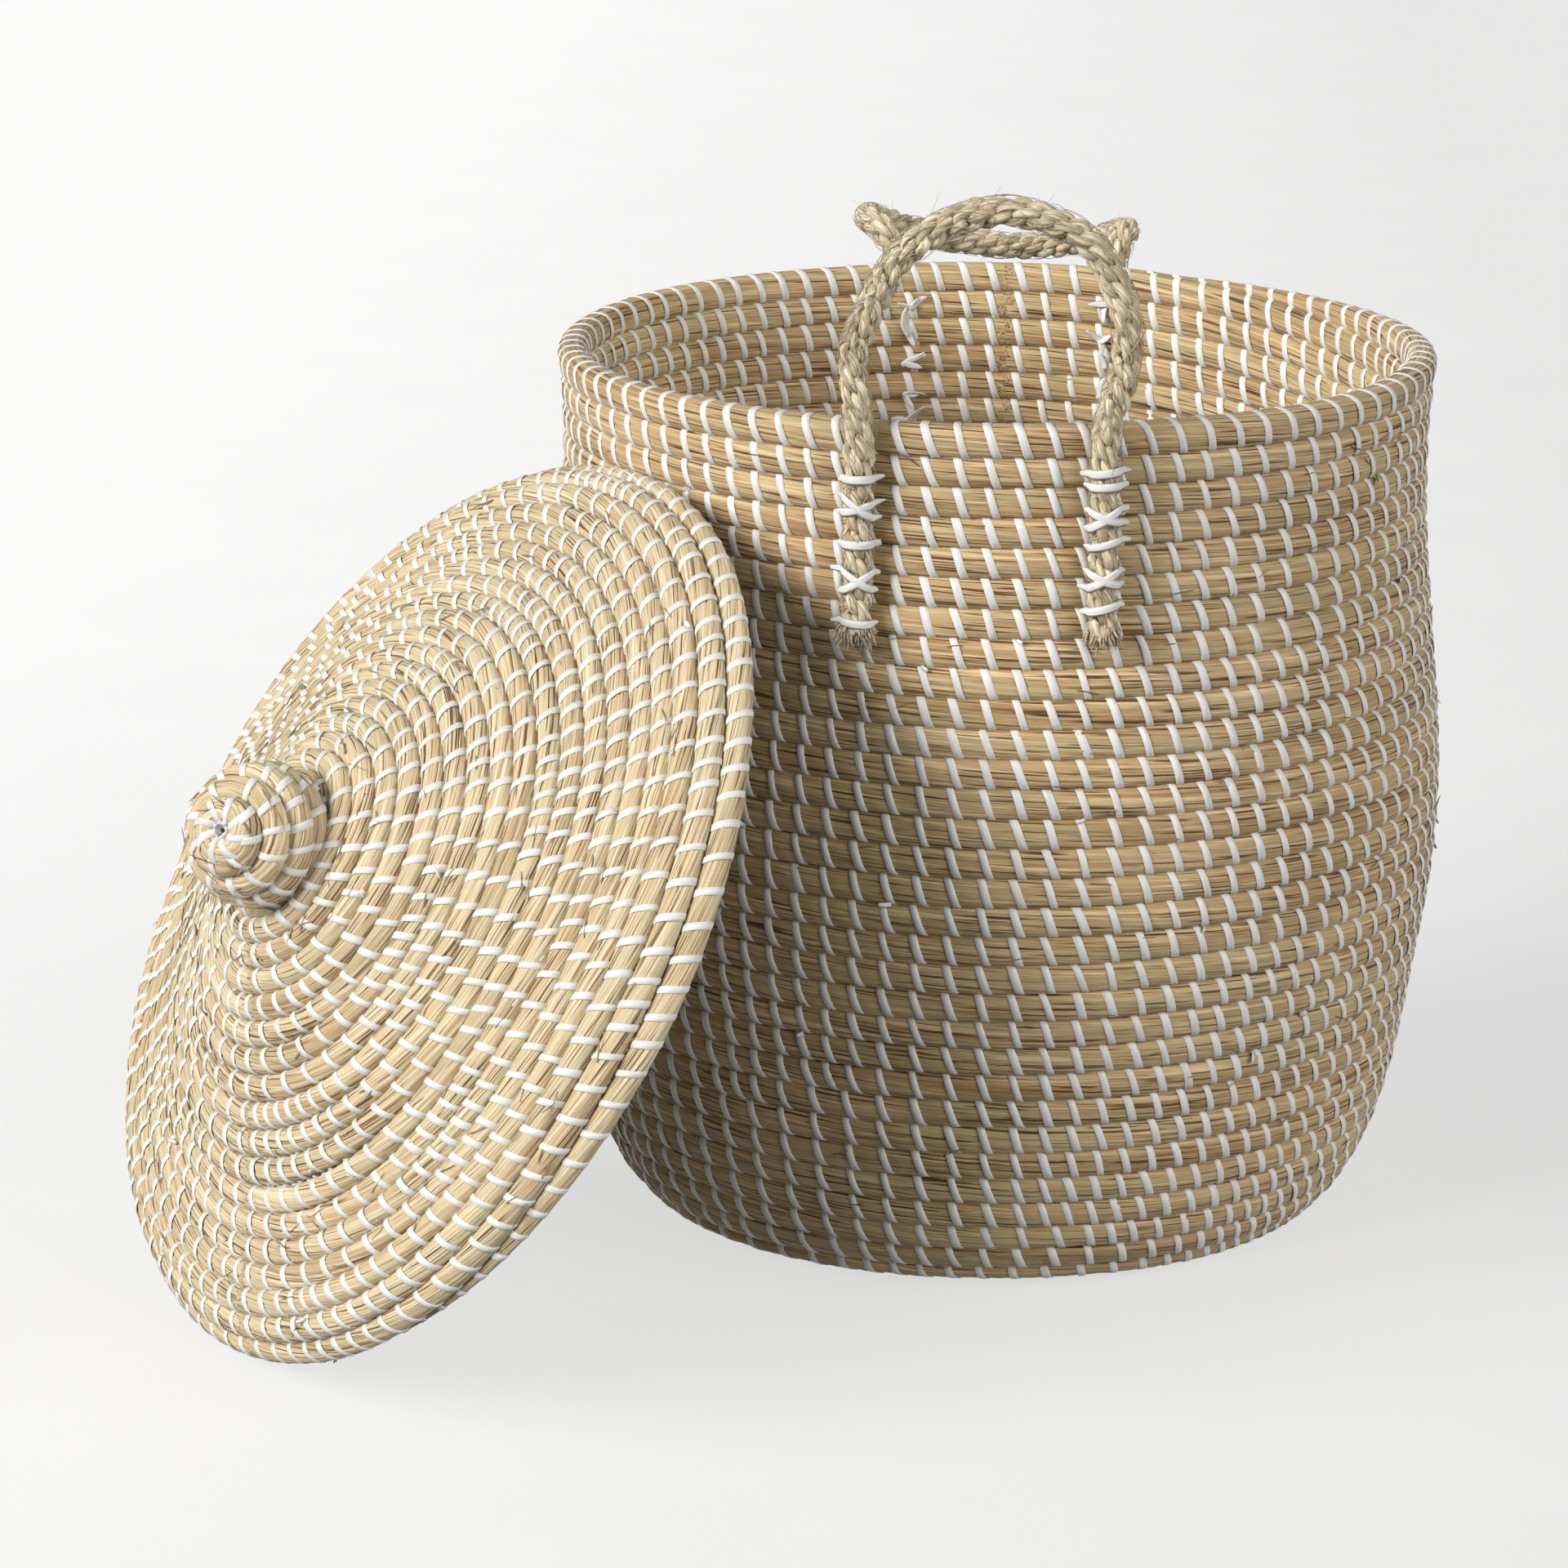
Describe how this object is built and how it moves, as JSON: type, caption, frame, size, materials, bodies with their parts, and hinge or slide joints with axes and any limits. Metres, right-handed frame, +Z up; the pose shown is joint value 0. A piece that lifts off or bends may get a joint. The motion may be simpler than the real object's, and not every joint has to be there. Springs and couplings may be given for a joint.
{
  "type": "coiled seagrass storage basket",
  "caption": "Round lidded storage basket of coiled seagrass stitched with white strip, with rope handles and a conical lid with a ball knob leaning against its wall.",
  "frame": {"origin": "centre of the basket's base where it rests on the floor", "axes": "+Z up along the basket's own axis, -Y towards the front handle, +Y towards the back handle; the lid leans at the front left, between -X and -Y"},
  "size_m": [0.6748, 0.7445, 0.5615],
  "materials": {
    "seagrass_basket": "matte",
    "seagrass_lid": "matte",
    "jute_rope": "matte",
    "plastic_strip": "satin"
  },
  "bodies": {
    "basket": {"base_spiral": "seagrass_basket", "foot_coils": "seagrass_basket", "lower_wall": "seagrass_basket", "belly_wall": "seagrass_basket", "upper_wall": "seagrass_basket", "rim_coils": "seagrass_basket", "front_leg_left": "jute_rope", "front_leg_right": "jute_rope", "front_lashing_left": "plastic_strip", "front_lashing_right": "plastic_strip", "front_knots_left": "plastic_strip", "front_knots_right": "plastic_strip", "back_leg_left": "jute_rope", "back_leg_right": "jute_rope", "back_lashing_left": "plastic_strip", "back_lashing_right": "plastic_strip", "back_knots_left": "plastic_strip", "back_knots_right": "plastic_strip"},
    "lid": {"lid_skirt": "seagrass_lid", "lid_outer_band": "seagrass_lid", "lid_inner_band": "seagrass_lid", "lid_crown": "seagrass_lid", "knob_neck": "seagrass_lid", "knob_ball": "seagrass_lid"},
    "front_handle": {"front_handle_loop": "jute_rope"},
    "back_handle": {"back_handle_loop": "jute_rope"}
  },
  "joints": [
    {"name": "lid_lift", "type": "slide", "parent": "basket", "child": "lid", "axis": [-0.2615, -0.2175, 0.9404], "range_m": [0, 0.6]},
    {"name": "front_handle_swing", "type": "hinge", "parent": "basket", "child": "front_handle", "pos_m": [0, -0.22668, 0.45846], "axis": [1, 0, 0], "range_deg": [-50, 95]},
    {"name": "back_handle_swing", "type": "hinge", "parent": "basket", "child": "back_handle", "pos_m": [0, 0.22668, 0.45846], "axis": [1, 0, 0], "range_deg": [-8, 135]}
  ]
}
